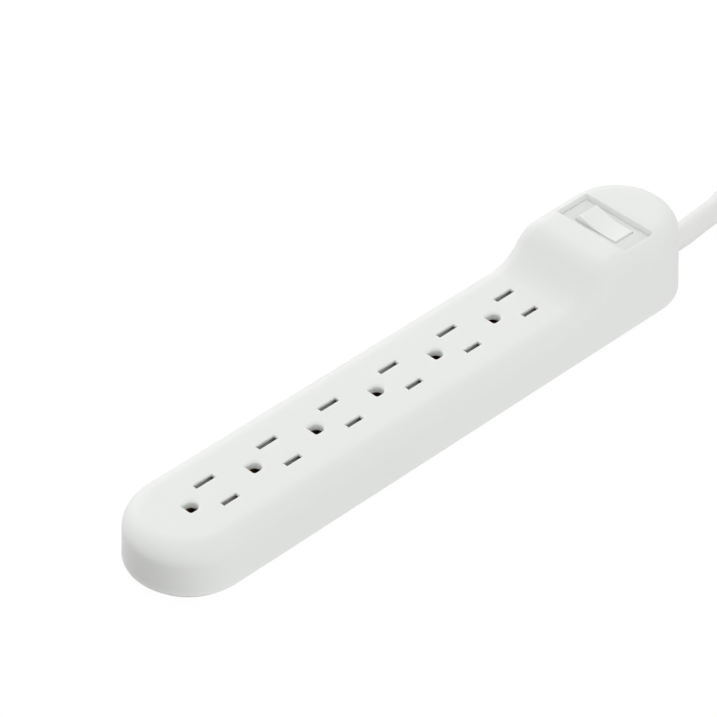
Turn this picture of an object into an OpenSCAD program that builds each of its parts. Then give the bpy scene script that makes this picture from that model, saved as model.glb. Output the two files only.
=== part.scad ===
// Power strip: six grounded outlets on a low deck, a switch on a raised hump, and a cord with its plug.
// Millimetres. The origin is the middle of the base, +X runs towards the cord, +Z is up.

/* [Housing] */
// Length of the housing over its round ends
body_l = 255; // [250:1:275]
// Width of the housing at its lower edge
body_w = 46; // [44:1:54]
// Height of the outlet deck above the surface that the strip rests on
deck_h = 22; // [21:0.5:25]
// Rise from the deck to the top of the hump
hump_rise = 12.5; // [11:0.5:16]
// Length of the hump's flat top, from its foot at the ramp to the cord end
hump_l = 46.4; // [44:0.1:50]
// Length of the ramp between deck and hump
ramp_l = 21; // [16:0.5:22]
// Share of the ramp that is hollow; the rest of it is round
ramp_turn = 0.6; // [0.5:0.05:0.8]
// Slope of the outer walls from upright, in degrees
draft = 2.5; // [1:0.5:3]
// Rounding of the deck's upper edge
deck_round = 7.7; // [5:0.1:9]
// Rounding of the hump's upper edge
hump_round = 8; // [6:0.1:10]
// Thickness of the housing's walls
wall = 2.2; // [1.8:0.1:2.6]

/* [Bottom cover] */
// Height of the base below the housing's lower edge
plinth_drop = 2.5; // [2:0.1:3]
// How far the base stands in from the housing's lower edge
plinth_inset = 3; // [2.8:0.1:4]
// Thickness of the cover's floor
cover_t = 1.8; // [1.4:0.1:2.2]
// Height of the lip that fits inside the housing
lip_h = 2; // [1.5:0.1:3]
// Gap between the lip and the housing
lip_gap = 0.15; // [0.1:0.05:0.4]
// Radius of a keyhole's wide end, which passes a screw's head
key_r = 4.25; // [3.5:0.05:4.6]
// Width of a keyhole's slot
key_slot = 4.6; // [3.6:0.1:5]
// Length of a keyhole's slot, from the middle of its wide end
key_l = 8; // [6:0.5:8.5]

/* [Screws] */
// Radius of the posts that take the screws
post_r = 3.2; // [2.8:0.1:3.8]
// Radius of the screws' threads
screw_r = 1.35; // [1:0.05:1.6]
// Radius of the screws' heads
head_r = 2.7; // [2.2:0.1:3]
// Thickness of the screws' heads
head_t = 1.8; // [1.4:0.1:2]
// Length of the screws under their heads
screw_l = 11; // [8:0.5:14]

/* [Outlets] */
// Least distance from the last outlet's blade slots to the foot of the ramp
outlet_room = 7.5; // [7:0.1:12]
// Distance between outlets
outlet_pitch = 28.8; // [28:0.1:29]
// Distance from the plain end to the first outlet's blade slots
outlet_end = 35.8; // [34:0.1:37]
// Distance between the two blade slots
blade_gap = 12.7; // [12.5:0.1:12.9]
// Distance from the blade slots to the middle of the ground hole
ground_reach = 11.7; // [11.6:0.1:11.9]
// Width of the blade slots
slot_w = 2.2; // [2:0.1:2.4]
// Length of the neutral slot
long_slot = 8.6; // [8.2:0.1:9]
// Length of the hot slot
short_slot = 7.1; // [6.8:0.1:7.6]
// Width of the ground hole
ground_w = 5.2; // [5.1:0.1:5.5]
// Length of the ground hole, from its flat side to the top of its arch
ground_l = 5.4; // [5.3:0.1:5.8]
// Thickness of the deck over the blade contacts
slot_skin = 1.2; // [1:0.1:1.3]
// Depth of the ground hole's collar
ground_deep = 2.9; // [2.6:0.1:3.4]

/* [Contacts] */
// Thickness of the contact metal
metal_t = 0.6; // [0.4:0.05:0.7]
// Gap between the leaves that grip a blade
blade_grip = 1.4; // [1.2:0.05:1.5]
// Gap between the leaves that grip a ground pin
pin_grip = 4.7; // [4.6:0.05:4.8]
// Height of the bars' long strips
strip_h = 9; // [7:0.5:10]
// Height of the supports under the live bars, above the cover's floor
bar_seat = 1.6; // [1:0.1:2]
// Height of the supports under the ground bar, above the cover's floor
ground_seat = 4.2; // [3.8:0.1:5]

/* [Switch] */
// Distance from the cord end to the middle of the switch
switch_end = 30.5; // [29:0.1:32]
// Width of the sunk recess, along the strip
recess_w = 14.6; // [14.2:0.1:15]
// Length of the sunk recess, across the strip
recess_l = 31.6; // [31:0.1:32.4]
// Depth of the bezel's face below the hump's top
bezel_drop = 2; // [1.5:0.1:2.4]
// Thickness of the bezel
bezel_t = 1; // [0.8:0.1:1.2]
// Gap between the bezel and the recess
bezel_gap = 0.35; // [0.2:0.05:0.5]
// Width of the rocker
rocker_w = 9; // [8.4:0.1:9.2]
// Radius of the rocker's ends about its pivot
rocker_r = 10.3; // [10:0.1:11]
// Whole swing of the rocker, in degrees
rocker_swing = 15; // [10:1:16]
// Depth of the rocker's pivot below the bezel's face
pivot_drop = 4; // [3.6:0.1:4.4]
// Gap round the moving rocker
rocker_gap = 0.3; // [0.25:0.05:0.4]
// Thickness of the switch case's walls
case_t = 1.25; // [1:0.05:1.4]
// Depth of the switch case's underside below the bezel's face
case_h = 19.5; // [19:0.1:20]

/* [Cord] */
// Diameter of the cord
cord_d = 9; // [8.4:0.1:9]
// Height of the cord's axis where it leaves the housing
exit_z = 5.8; // [5.6:0.1:6.4]
// Length of the strain relief outside the housing
relief_l = 20; // [20:0.5:20]
// Radius of the strain relief at the housing
relief_r = 4.95; // [4.9:0.05:5.2]
// Radius of the strain relief's collar inside the housing
collar_r = 7; // [6.4:0.1:7.6]
// Diameter of the insulated wires inside
wire_d = 3; // [2.4:0.1:3]

/* [Plug] */
// Length of the plug's body
plug_l = 32; // [28:1:36]
// Width of the plug's face
plug_w = 27; // [25:0.5:29]
// Height of the plug's face
plug_h = 26; // [25:0.5:26]
// Length of the plug's own strain relief
plug_relief_l = 30; // [24:1:36]
// Length of the blades
blade_l = 17; // [16:0.1:18]
// Thickness of the blades
blade_t = 1.5; // [1.4:0.05:1.6]
// Width of the hot blade
hot_w = 6.35; // [6.2:0.05:6.5]
// Width of the neutral blade
neutral_w = 7.9; // [7.7:0.05:8.1]
// Length of the ground pin
pin_l = 20; // [19:0.1:21]
// Radius of the ground pin
pin_r = 2.4; // [2.3:0.01:2.4]
// Distance from the plug's blades to the middle of its ground pin
pin_reach = 11.9; // [11.7:0.1:12.1]

/* [Hidden] */
// Smoothness of true round faces
$fn = 48;
// A little more than a cut needs, so that no skin is left
over = 1;
// How far a rib or post runs into the wall that carries it
bite = 0.8;

// Places of the housing
half_l = body_l / 2;
half_w = body_w / 2;
spine = half_l - half_w;
skirt_z = plinth_drop;
hump_z = deck_h + hump_rise;
roof_z = deck_h - wall;
ramp_x1 = half_l - hump_l;
ramp_x0 = ramp_x1 - ramp_l;
ramp_steps = 15;
end_steps = 18;
round_steps = 6;

// Number of outlets: as many as the deck holds
outlet_n = 1 + floor((ramp_x0 - outlet_room - outlet_x(0)) / outlet_pitch);

// Places of the cover and its screws, with each post's distance from the nearest end and side of the housing
tail_post_end = 13;
side_post_in = 8.5;
hump_post_end = 17;
hump_post_in = 9.5;
lip_z = skirt_z + lip_h;
lip_inset = wall + lip_gap;
tail_post_x = -half_l + tail_post_end;
side_post_x = outlet_x(floor(outlet_n / 2)) + outlet_pitch / 2;
side_post_y = half_w - side_post_in;
hump_post_x = half_l - hump_post_end;
hump_post_y = half_w - hump_post_in;
POSTS = [[tail_post_x, 0], [side_post_x, -side_post_y], [side_post_x, side_post_y],
         [hump_post_x, -hump_post_y], [hump_post_x, hump_post_y]];
screw_gap = 0.15;
head_gap = 0.4;
well_t = 1.2;
well_r = head_r + head_gap + well_t;
head_sink = 0.9;
head_z = head_sink + head_t;
drive_l = 3.2;
drive_w = 0.7;
drive_h = 0.9;
key_back = 3;
keys_x = [outlet_x(0) - key_back, outlet_x(outlet_n - 1) - key_back];

// Places of the outlets and their contacts
function outlet_x(i) = -half_l + outlet_end + outlet_pitch * i;
function ground_x(i) = outlet_x(i) - ground_reach;
bar_z = cover_t + bar_seat;
ground_z = cover_t + ground_seat;
strip_top = bar_z + strip_h;
leaf_gap = 0.2;
leaf_top = deck_h - slot_skin - leaf_gap;
ground_leaf_top = deck_h - ground_deep - leaf_gap;
bar_over = 1;
bar_end = 20;
bar_x0 = ground_x(0) - ground_l / 2 - bar_over;
bar_x1 = outlet_x(outlet_n - 1) + bar_end;
leaf_flare = 0.4;
flare_h = 1;
hot_leaf = short_slot;
neutral_leaf = long_slot;
ground_leaf = ground_l + leaf_flare;
rib_t = 1.2;
rib_x = 9;
fence_t = 0.8;
fence_gap = 0.15;
fence_y = pin_grip / 2 + metal_t + leaf_flare + fence_gap;
pocket_x = 1.4;
pocket_y = 2;
fence_z = 8;
live_y = blade_gap / 2;
live_out = live_y + blade_grip / 2 + metal_t;
ground_bar_y = (pin_grip + metal_t) / 2;

// Places of the switch
switch_x = half_l - switch_end;
bezel_top = hump_z - bezel_drop;
bezel_z = bezel_top - bezel_t;
ledge_t = 1.8;
ledge_rim = 1.5;
pivot_z = bezel_top - pivot_drop;
trunnion_r = 1.2;
trunnion_gap = 0.08;
trunnion_in = 0.2;
mouth_w = rocker_w + 2 * rocker_gap;
mouth_l = 2 * (sqrt(pow(rocker_r, 2) - pow(pivot_drop - bezel_t, 2)) + rocker_gap);
case_w = mouth_w + 2 * case_t;
case_l = 2 * (rocker_r + rocker_gap + trunnion_gap + case_t);
case_z = bezel_top - case_h;
case_gap = 0.2;
case_floor = case_z + case_t;
rocker_rise = 0.8;
rocker_dish = 1.4;
dish_steps = 5;
rocker_low = 1;
half_swing = rocker_swing / 2;
stem_w = 5;
stem_low = 6.5;
plunger_r = 1.35;
plunger_gap = 0.15;
spring_top = 0.8;
spring_low = 5.4;
spring_r = 1;
spring_wire = 0.32;
spring_turns = 6;
lever_t = 0.8;
lever_w = 4;
lever_h = 4.2;
lever_z = case_floor + lever_h;
lever_far = 7;
lever_near = 4;
lever_pin_r = 0.8;
tip_gap = 0.3;
tip_low = pivot_z - lever_z - lever_t / 2 - tip_gap;
ear_gap = 0.6;
ear_x = lever_w / 2 + ear_gap;
ear_t = 0.8;
ear_w = 4;
ear_over = 1.7;
ear_top = lever_z + ear_over;
plate_t = 0.8;
tab_w = 6.3;
tab_t = 0.8;
tab_l = 5.5;
tab_z = case_z - tab_l;
pin_bite = 0.2;
load_l = 4.4;
tab_gap = 0.2;
contact_y = -5.5;
contact_r = 1.4;
contact_h = 0.8;
contact_gap = 0.3;
load_y = -7;
fixed_top = lever_z - (lever_t / 2 + contact_h) * cos(half_swing)
          - (contact_r - contact_y) * sin(half_swing) - contact_gap;

// Places of the strain relief
relief_gap = 0.15;
wall_x = half_l - (exit_z - skirt_z) * tan(draft);
end_r = half_w - wall - (exit_z + collar_r - skirt_z) * tan(draft) - relief_gap;
collar_x = spine + sqrt(pow(end_r, 2) - pow(collar_r, 2));
collar_t = 2.6;
jacket_l = 6;
jacket_x = collar_x - collar_t - jacket_l;
plinth_x = half_l - plinth_inset + relief_gap;
relief_in = 0.5;
relief_root = relief_r - 0.2;
relief_mid = relief_r - 0.25;
relief_tip = cord_d / 2 + 0.05;
relief_knee = relief_tip + 0.03;
relief_bend = 13;
relief_sink = 2.2;
lead_turn = 5.3;
sink_way = [cos(relief_sink), 0, -sin(relief_sink)];
lead_way = [cos(lead_turn), sin(lead_turn), 0];
knee = [half_l, 0, exit_z] + relief_bend * sink_way;
lead_start = knee + (relief_l - relief_bend) * lead_way;

// The wires inside, as points chosen by hand
tab_wire_z = tab_z + 2;
live_end = live_out - metal_t / 2;
hot_route = [[jacket_x, -3, exit_z], [jacket_x - 3, -3, exit_z], [jacket_x - 6, -2.4, exit_z + 0.8],
             [jacket_x - 9, -1, exit_z + 2.4], [switch_x + tab_w / 2 + 2, 0, tab_wire_z],
             [switch_x + tab_w / 2, 0, tab_wire_z]];
jumper_route = [[switch_x - tab_w / 2, load_y, tab_wire_z], [switch_x - tab_w / 2 - 2, load_y, tab_wire_z],
                [switch_x - 12, load_y, 9], [bar_x1 + 2, -live_end, 9], [bar_x1, -live_end, 9]];
neutral_route = [[jacket_x, 3, exit_z], [jacket_x - 3, 3, exit_z], [jacket_x - 10, 5, 5],
                 [switch_x - 4, 6.4, 5], [switch_x - 14, 7.2, 6], [bar_x1 + 2, live_end, 7],
                 [bar_x1, live_end, 7]];
ground_route = [[jacket_x, 0, exit_z], [jacket_x - 3, 0, exit_z], [jacket_x - 9, 1.4, 4.2],
                [switch_x + 4, 2.4, 3.8], [switch_x - 6, 2.4, 4], [bar_x1 + 2, ground_bar_y, 9],
                [bar_x1, ground_bar_y, 9]];

// The cord outside, as points chosen by hand, and the hank that they lead to
lead_route = [lead_start, lead_start + 3 * lead_way, [154, 1.25, 5.2], [158, 1.62, 5.06], [163.2, 2.36, 4.88],
              [168.6, 3.7, 4.71], [174.6, 5.95, 4.62], [180.6, 8.19, 4.6], [185.9, 9.53, 4.6],
              [190.9, 10.26, 4.6], [193.7, 10.45, 4.6], [196, 10.5, 4.6]];
tail_route = [[304, 10.5, 23.8], [307, 10.5, 23.8], [313, 10.5, 23], [319, 10.5, 21.2], [325, 10.5, 18.6],
              [331, 10.5, 16], [337, 10.5, 14.1], [343, 10.5, 13.2], [346, 10.5, 13.2]];
hank_x0 = 205;
hank_x1 = 295;
hank_y = -17;
hank_r = 27.5;
hank_z = 4.6;
hank_pitch = 9.6;
hank_waist = 12;
hank_lift = 1.4;
run_steps = 5;
fold_steps = 7;
tie_w = 6;
tie_reach = 0.07;
tie_climb = 0.06;
tie_t = 1;
tie_gap = 0.3;

// Places of the plug
plug_x0 = tail_route[len(tail_route) - 1][0];
plug_y = tail_route[len(tail_route) - 1][1];
plug_z = tail_route[len(tail_route) - 1][2];
plug_back = plug_x0 + plug_relief_l;
plug_face = plug_back + plug_l;
plug_round = 6;
plug_neck_r = 7.5;
plug_neck_l = 4;
plug_step = 2;
plug_block_l = 16;
plug_tip = 0.4;
blade_low = 4.4;
blade_z = plug_z - blade_low;
pin_z = blade_z + pin_reach;
blade_root = 8;
blade_chamfer = 1.2;
blade_hole_r = 1.5;
blade_hole_in = 5;
pin_root_r = 1.9;

// Share of the ramp that is climbed at x: a hollow parabola, then a round one, of one slope where they meet
function climbed(x) = let (t = max(0, min(1, (x - ramp_x0) / ramp_l)))
    t < ramp_turn ? t * t / ramp_turn : 1 - (1 - t) * (1 - t) / (1 - ramp_turn);
// Slope of the ramp at x
function slope_at(x) = let (t = max(0, min(1, (x - ramp_x0) / ramp_l)))
    2 * hump_rise / ramp_l * min(t / ramp_turn, (1 - t) / (1 - ramp_turn));
function top_at(x) = deck_h + hump_rise * climbed(x);
function round_at(x) = deck_round + (hump_round - deck_round) * climbed(x);

// Stations round the housing's plan: each has a point on the spine and the way out from it
side_xs = concat([-spine], [for (i = [0:ramp_steps]) ramp_x0 + ramp_l * i / ramp_steps], [spine]);
side_n = len(side_xs);
STATIONS = concat(
    [for (x = side_xs) [x, 0, -1]],
    [for (i = [1:end_steps - 1]) let (a = -90 + 180 * i / end_steps) [spine, cos(a), sin(a)]],
    [for (i = [side_n - 1:-1:0]) [side_xs[i], 0, 1]],
    [for (i = [1:end_steps - 1]) let (a = 90 + 180 * i / end_steps) [-spine, cos(a), sin(a)]]);

// Profile of the wall at a station: a sloped side from z_low, then an arc to the flat top, as [inset, height].
// The arc is round on the deck and the hump, and taller on the ramp, as a ball would roll it there
function wall_profile(x, inset, z_low) =
    let (r = round_at(x) - inset, tall = r * sqrt(1 + pow(slope_at(x), 2)), top = top_at(x) - inset,
         lean = tan(draft), mid = inset + (top - tall + tall * sin(draft) - skirt_z) * lean + r * cos(draft))
    concat([[inset + (z_low - skirt_z) * lean, z_low]],
           [for (k = [0:round_steps]) let (a = draft + (90 - draft) * k / round_steps)
               [mid - r * cos(a), top - tall + tall * sin(a)]]);

// The housing's outer form, drawn in by inset on all sides and open downwards to z_low
module body_form(inset, z_low) {
    n = len(STATIONS);
    rows = round_steps + 2;
    profiles = [for (s = STATIONS) wall_profile(s[0], inset, z_low)];
    points = [for (k = [0:rows - 1]) for (j = [0:n - 1])
        let (s = STATIONS[j], out = half_w - profiles[j][k][0])
        [s[0] + s[1] * out, s[2] * out, profiles[j][k][1]]];
    left = side_n + end_steps - 1;
    sides = [for (k = [0:rows - 2]) for (j = [0:n - 1]) let (a = k * n + j, b = k * n + (j + 1) % n)
        each [[a, b + n, b], [a, a + n, b + n]]];
    cap = concat([for (i = [0:side_n - 2]) [left + side_n - 1 - i, left + side_n - 2 - i, i + 1, i]],
                 [[for (i = [left:-1:side_n - 1]) i]], [[for (i = [n:-1:left + side_n - 1]) i % n]]);
    roof = [for (f = cap) [for (i = f) i + (rows - 1) * n]];
    base = [for (f = cap) [for (i = [len(f) - 1:-1:0]) f[i]]];
    polyhedron(points, concat(base, sides, roof), convexity = 6);
}

// A straight-sided solid of the plan, from z0 to z1
module slab(inset, z0, z1) {
    r = half_w - inset;
    translate([-spine, -r, z0]) cube([2 * spine, 2 * r, z1 - z0]);
    for (s = [-1, 1])
        translate([s * spine, 0, z0]) cylinder(r = r, h = z1 - z0, $fn = 96);
}

// A box about a middle point in x and y, from z0 to z1
module block(x, y, w, l, z0, z1) {
    translate([x - w / 2, y - l / 2, z0]) cube([w, l, z1 - z0]);
}

// The ground hole's outline: a flat side away from the blades and an arch towards them
module ground_outline(x, grow) {
    r = ground_w / 2;
    middle = ground_l / 2 - r;
    translate([x + middle, 0]) circle(r + grow);
    translate([x - ground_l / 2 - grow, -r - grow]) square([ground_l / 2 + middle + grow, 2 * (r + grow)]);
}

// A tube along points, with flat ends square to its first and last stretch
function unit(v) = v / norm(v);
function way(p, i) = unit(p[min(i + 1, len(p) - 1)] - p[max(i - 1, 0)]);
function ring(p, i, r, sides) =
    let (t = way(p, i), across = unit(cross([0, 0, 1], t)), up = cross(t, across))
    [for (j = [0:sides - 1]) let (a = 360 * j / sides) p[i] + r * (cos(a) * across + sin(a) * up)];
module tube(p, r, sides) {
    n = len(p);
    points = [for (i = [0:n - 1]) each ring(p, i, r, sides)];
    skin = [for (i = [0:n - 2]) for (j = [0:sides - 1])
        let (a = i * sides + j, b = i * sides + (j + 1) % sides)
        each [[a, b + sides, b], [a, a + sides, b + sides]]];
    first = [for (j = [1:sides - 2]) [0, j, j + 1]];
    last = [for (j = [1:sides - 2]) let (e = (n - 1) * sides) [e, e + j + 1, e + j]];
    polyhedron(points, concat(first, last, skin), convexity = 8);
}

// The shell with its outlets, the switch's recess, the posts for the screws and the ribs that hold the bars
module top_housing() {
    color("whitesmoke")
    difference() {
        union() {
            difference() {
                body_form(0, skirt_z);
                body_form(wall, skirt_z - over);
            }
            for (p = POSTS)
                translate([p[0], p[1], lip_z]) cylinder(r = post_r, h = top_at(p[0]) - wall + bite - lip_z);
            block(switch_x, 0, recess_w + 2 * ledge_rim, recess_l + 2 * ledge_rim,
                  bezel_z - ledge_t, hump_z - wall + bite);
            for (i = [0:outlet_n - 1]) {
                translate([0, 0, deck_h - ground_deep])
                    linear_extrude(ground_deep - wall + bite) ground_outline(ground_x(i), fence_t);
                block(outlet_x(i) + rib_x, 0, rib_t, 2 * live_out, strip_top + leaf_gap, roof_z + bite);
            }
            for (s = [-1, 1])
                block((bar_x0 + bar_x1) / 2, s * (fence_y + fence_t / 2), bar_x1 - bar_x0, fence_t,
                      fence_z, roof_z + bite);
        }
        for (i = [0:outlet_n - 1]) {
            for (s = [-1, 1]) {
                long = s > 0 ? long_slot : short_slot;
                block(outlet_x(i), s * live_y, long, slot_w, deck_h - wall - over, deck_h + over);
                block(outlet_x(i), s * live_y, long + pocket_x, slot_w + pocket_y,
                      deck_h - wall - over, deck_h - slot_skin);
            }
            translate([0, 0, fence_z - over])
                linear_extrude(deck_h - fence_z + 2 * over) ground_outline(ground_x(i), 0);
        }
        block(switch_x, 0, recess_w, recess_l, bezel_z, hump_z + over);
        block(switch_x, 0, case_w + 2 * case_gap, case_l + 2 * case_gap,
              bezel_z - ledge_t - over, bezel_z + over);
        for (p = POSTS)
            translate([p[0], p[1], lip_z - over]) cylinder(r = screw_r + screw_gap, h = screw_l + over);
        translate([wall_x, 0, exit_z]) rotate([0, 90, 0])
            cylinder(r = relief_r + relief_gap, h = 3 * wall, center = true);
        block(wall_x, 0, 3 * wall, 2 * (relief_r + relief_gap), skirt_z - over, exit_z);
    }
}

// The base plate: a shallow tray with a lip inside the housing, wells for screws, ribs for the bars, keyholes
module bottom_cover() {
    color("gainsboro")
    difference() {
        union() {
            slab(plinth_inset, 0, cover_t);
            difference() {
                union() {
                    slab(plinth_inset, 0, skirt_z);
                    slab(lip_inset, skirt_z, lip_z);
                }
                slab(plinth_inset + cover_t, cover_t, lip_z + over);
            }
            for (p = POSTS)
                translate([p[0], p[1], 0]) cylinder(r = well_r, h = lip_z);
            for (i = [0:outlet_n - 1]) {
                block(outlet_x(i) + rib_x, 0, rib_t, 2 * (live_out + bar_over), cover_t - bite, bar_z);
                block(outlet_x(i) + rib_x, 0, rib_t, pin_grip + 2 * metal_t, cover_t - bite, ground_z);
            }
        }
        for (p = POSTS) {
            translate([p[0], p[1], -over]) cylinder(r = head_r + head_gap, h = head_z + over);
            translate([p[0], p[1], -over]) cylinder(r = screw_r + 2 * screw_gap, h = lip_z + 2 * over);
        }
        for (x = keys_x) {
            translate([x, 0, -over]) cylinder(r = key_r, h = cover_t + 2 * over);
            block(x + key_l / 2, 0, key_l, key_slot, -over, cover_t + over);
            translate([x + key_l, 0, -over]) cylinder(r = key_slot / 2, h = cover_t + 2 * over);
        }
        translate([collar_x - collar_t - relief_gap, -collar_r - relief_gap, cover_t])
            cube([half_l, 2 * (collar_r + relief_gap), lip_z]);
    }
}

// The screws, head down, each with a cross recess and its shank in a post
module housing_screws() {
    color("silver")
    for (p = POSTS)
        translate([p[0], p[1], head_sink])
            difference() {
                union() {
                    cylinder(r = head_r, h = head_t);
                    cylinder(r = screw_r, h = head_t + screw_l);
                }
                block(0, 0, drive_l, drive_w, -over, drive_h);
                block(0, 0, drive_w, drive_l, -over, drive_h);
            }
}

// A leaf of contact metal in the y-z plane, flared at its top, as long as w along the strip
module leaf(x, w, y, z0, z1, side) {
    lip = side * leaf_flare;
    t = side * metal_t;
    translate([x - w / 2, 0, 0]) rotate([90, 0, 90])
        linear_extrude(w)
            polygon([[y, z0], [y, z1 - flare_h], [y + lip, z1],
                     [y + lip + t, z1], [y + t, z1 - flare_h], [y + t, z0]]);
}

// A live bar: a long strip on edge, with a folded clip of two leaves at each outlet
module live_bar(side, w) {
    inner = side * (live_y - blade_grip / 2);
    outer = side * (live_y + blade_grip / 2);
    block((bar_x0 + bar_x1) / 2, outer + side * metal_t / 2, bar_x1 - bar_x0, metal_t, bar_z, strip_top);
    for (i = [0:outlet_n - 1]) {
        leaf(outlet_x(i), w, outer, bar_z, leaf_top, side);
        leaf(outlet_x(i), w, inner, bar_z, leaf_top, -side);
        block(outlet_x(i), side * live_y, w, blade_grip + 2 * metal_t, bar_z, bar_z + metal_t);
    }
}

module hot_bus_bar() {
    color("darkgoldenrod") live_bar(-1, hot_leaf);
}

module neutral_bus_bar() {
    color("goldenrod") live_bar(1, neutral_leaf);
}

// The ground bar: a strip on edge beside the pins, with a clip folded round the far end of each pin's place
module ground_bus_bar() {
    color("peru") {
        block((bar_x0 + bar_x1) / 2, ground_bar_y, bar_x1 - bar_x0, metal_t, ground_z, strip_top);
        for (i = [0:outlet_n - 1]) {
            for (s = [-1, 1])
                leaf(ground_x(i), ground_leaf, s * pin_grip / 2, ground_z, ground_leaf_top, s);
            block(ground_x(i) + ground_leaf / 2, 0, metal_t, pin_grip + 2 * metal_t,
                  ground_z, ground_leaf_top - flare_h);
        }
    }
}

// The frame of the switch, sunk in the recess
module switch_bezel() {
    color("white")
    difference() {
        block(switch_x, 0, recess_w - 2 * bezel_gap, recess_l - 2 * bezel_gap, bezel_z, bezel_top);
        block(switch_x, 0, mouth_w, mouth_l, bezel_z - over, bezel_top + over);
    }
}

// The open-topped box of the switch, with bores for the rocker's pins and slots for the terminals
module switch_case() {
    color("ivory")
    difference() {
        block(switch_x, 0, case_w, case_l, case_z, bezel_z);
        block(switch_x, 0, mouth_w, case_l - 2 * case_t, case_floor, bezel_z + over);
        translate([switch_x, 0, pivot_z]) rotate([0, 90, 0])
            cylinder(r = trunnion_r + trunnion_gap, h = case_w + 2 * over, center = true);
        for (y = [0, load_y])
            block(switch_x, y, tab_w + 2 * tab_gap, tab_t + 2 * tab_gap, case_z - over, case_floor + over);
    }
}

// Side outline of the rocker about its pivot: a hollow top, round ends, and a stem below
module rocker_side() {
    top = pivot_drop + rocker_rise;
    intersection() {
        circle(rocker_r, $fn = 96);
        polygon(concat([for (k = [-dish_steps:dish_steps]) let (s = k / dish_steps)
                           [rocker_r * s, top + rocker_dish * s * s]],
                       [[rocker_r, -rocker_low], [-rocker_r, -rocker_low]]));
    }
    translate([-stem_w / 2, -stem_low]) square([stem_w, stem_low]);
}

// Puts what is drawn about the rocker's pivot in its place, tipped as at rest: the far end up
module at_rocker() {
    translate([switch_x, 0, pivot_z]) rotate([half_swing, 0, 0]) children();
}

module rocker() {
    color("white")
    at_rocker()
    difference() {
        union() {
            translate([-rocker_w / 2, 0, 0]) rotate([90, 0, 90])
                linear_extrude(rocker_w)
                    difference() {
                        rocker_side();
                        for (s = [-1, 1])
                            translate([s > 0 ? stem_w / 2 : -rocker_r, -stem_low - over])
                                square([rocker_r - stem_w / 2, stem_low - rocker_low + over]);
                    }
            rotate([0, 90, 0]) cylinder(r = trunnion_r, h = case_w - 2 * trunnion_in, center = true);
        }
        for (s = [-1, 1])
            block(s * (stem_w / 2 + rocker_w / 2), 0, rocker_w, 2 * rocker_r,
                  -stem_low - over, -rocker_low - trunnion_r);
        translate([0, 0, -stem_low - over])
            cylinder(r = plunger_r + plunger_gap, h = stem_low + over - spring_top);
    }
}

// The sprung tip that slides in the rocker's stem
module rocker_plunger() {
    color("burlywood")
    at_rocker() {
        translate([0, 0, -tip_low + plunger_r]) sphere(plunger_r);
        translate([0, 0, -tip_low + plunger_r]) cylinder(r = plunger_r, h = tip_low - plunger_r - spring_low);
    }
}

// The coil spring between the stem's bore and the plunger
spring_turn_steps = 8;
spring_rings = spring_turn_steps * spring_turns;
spring_rise = spring_low - spring_top - spring_wire;
function coil_point(i) = let (a = 360 * i / spring_turn_steps)
    [spring_r * cos(a), spring_r * sin(a), -spring_low + spring_wire / 2 + spring_rise * i / spring_rings];
module plunger_spring() {
    color("lightslategray")
    at_rocker() tube([for (i = [0:spring_rings]) coil_point(i)], spring_wire / 2, 6);
}

// Puts what is drawn about the lever's pivot in its place, tipped as at rest: the contact end up
module at_lever() {
    translate([switch_x, 0, lever_z]) rotate([-half_swing, 0, 0]) children();
}

// The see-saw lever that the plunger tips
module contact_lever() {
    color("sandybrown")
    at_lever() {
        translate([-lever_w / 2, -lever_far, -lever_t / 2]) cube([lever_w, lever_far + lever_near, lever_t]);
        for (s = [-1, 1])
            translate([s * (ear_x + ear_t + lever_w / 2 - pin_bite) / 2, 0, 0]) rotate([0, 90, 0])
                cylinder(r = lever_pin_r, h = ear_x + ear_t - lever_w / 2 + pin_bite, center = true);
    }
}

// The contact button on the lever
module lever_contact() {
    color("silver")
    at_lever() translate([0, contact_y, -lever_t / 2 - contact_h]) cylinder(r = contact_r, h = contact_h);
}

// The terminal that carries the lever between two ears
module line_terminal() {
    color("chocolate")
    difference() {
        union() {
            block(switch_x, 0, 2 * (ear_x + ear_t), ear_w, case_floor, case_floor + plate_t);
            block(switch_x, 0, tab_w, tab_t, tab_z, case_floor + plate_t);
            for (s = [-1, 1])
                block(switch_x + s * (ear_x + ear_t / 2), 0, ear_t, ear_w, case_floor, ear_top);
        }
        translate([switch_x, 0, lever_z]) rotate([0, 90, 0])
            cylinder(r = lever_pin_r + trunnion_gap, h = case_w, center = true);
    }
}

// The terminal under the lever's contact end
module load_terminal() {
    color("sienna") {
        block(switch_x, (load_y + contact_y) / 2, tab_w, load_l, case_floor, case_floor + plate_t);
        block(switch_x, load_y, tab_w, tab_t, tab_z, case_floor + plate_t);
    }
}

// The contact button on the load terminal
module fixed_contact() {
    color("lightgray")
    translate([switch_x, contact_y, case_floor + plate_t])
        cylinder(r = contact_r, h = fixed_top - case_floor - plate_t);
}

module hot_lead() {
    color("black") tube(hot_route, wire_d / 2, 8);
}

module hot_jumper() {
    color("dimgray") tube(jumper_route, wire_d / 2, 8);
}

module neutral_lead() {
    color("snow") tube(neutral_route, wire_d / 2, 8);
}

module ground_lead() {
    color("green") tube(ground_route, wire_d / 2, 8);
}

// A round bar along the cord's axis at the exit, from x0 to x1
module exit_bar(x0, x1, r0, r1) {
    translate([x0, 0, exit_z]) rotate([0, 90, 0]) cylinder(r1 = r0, r2 = r1, h = x1 - x0);
}

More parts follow.
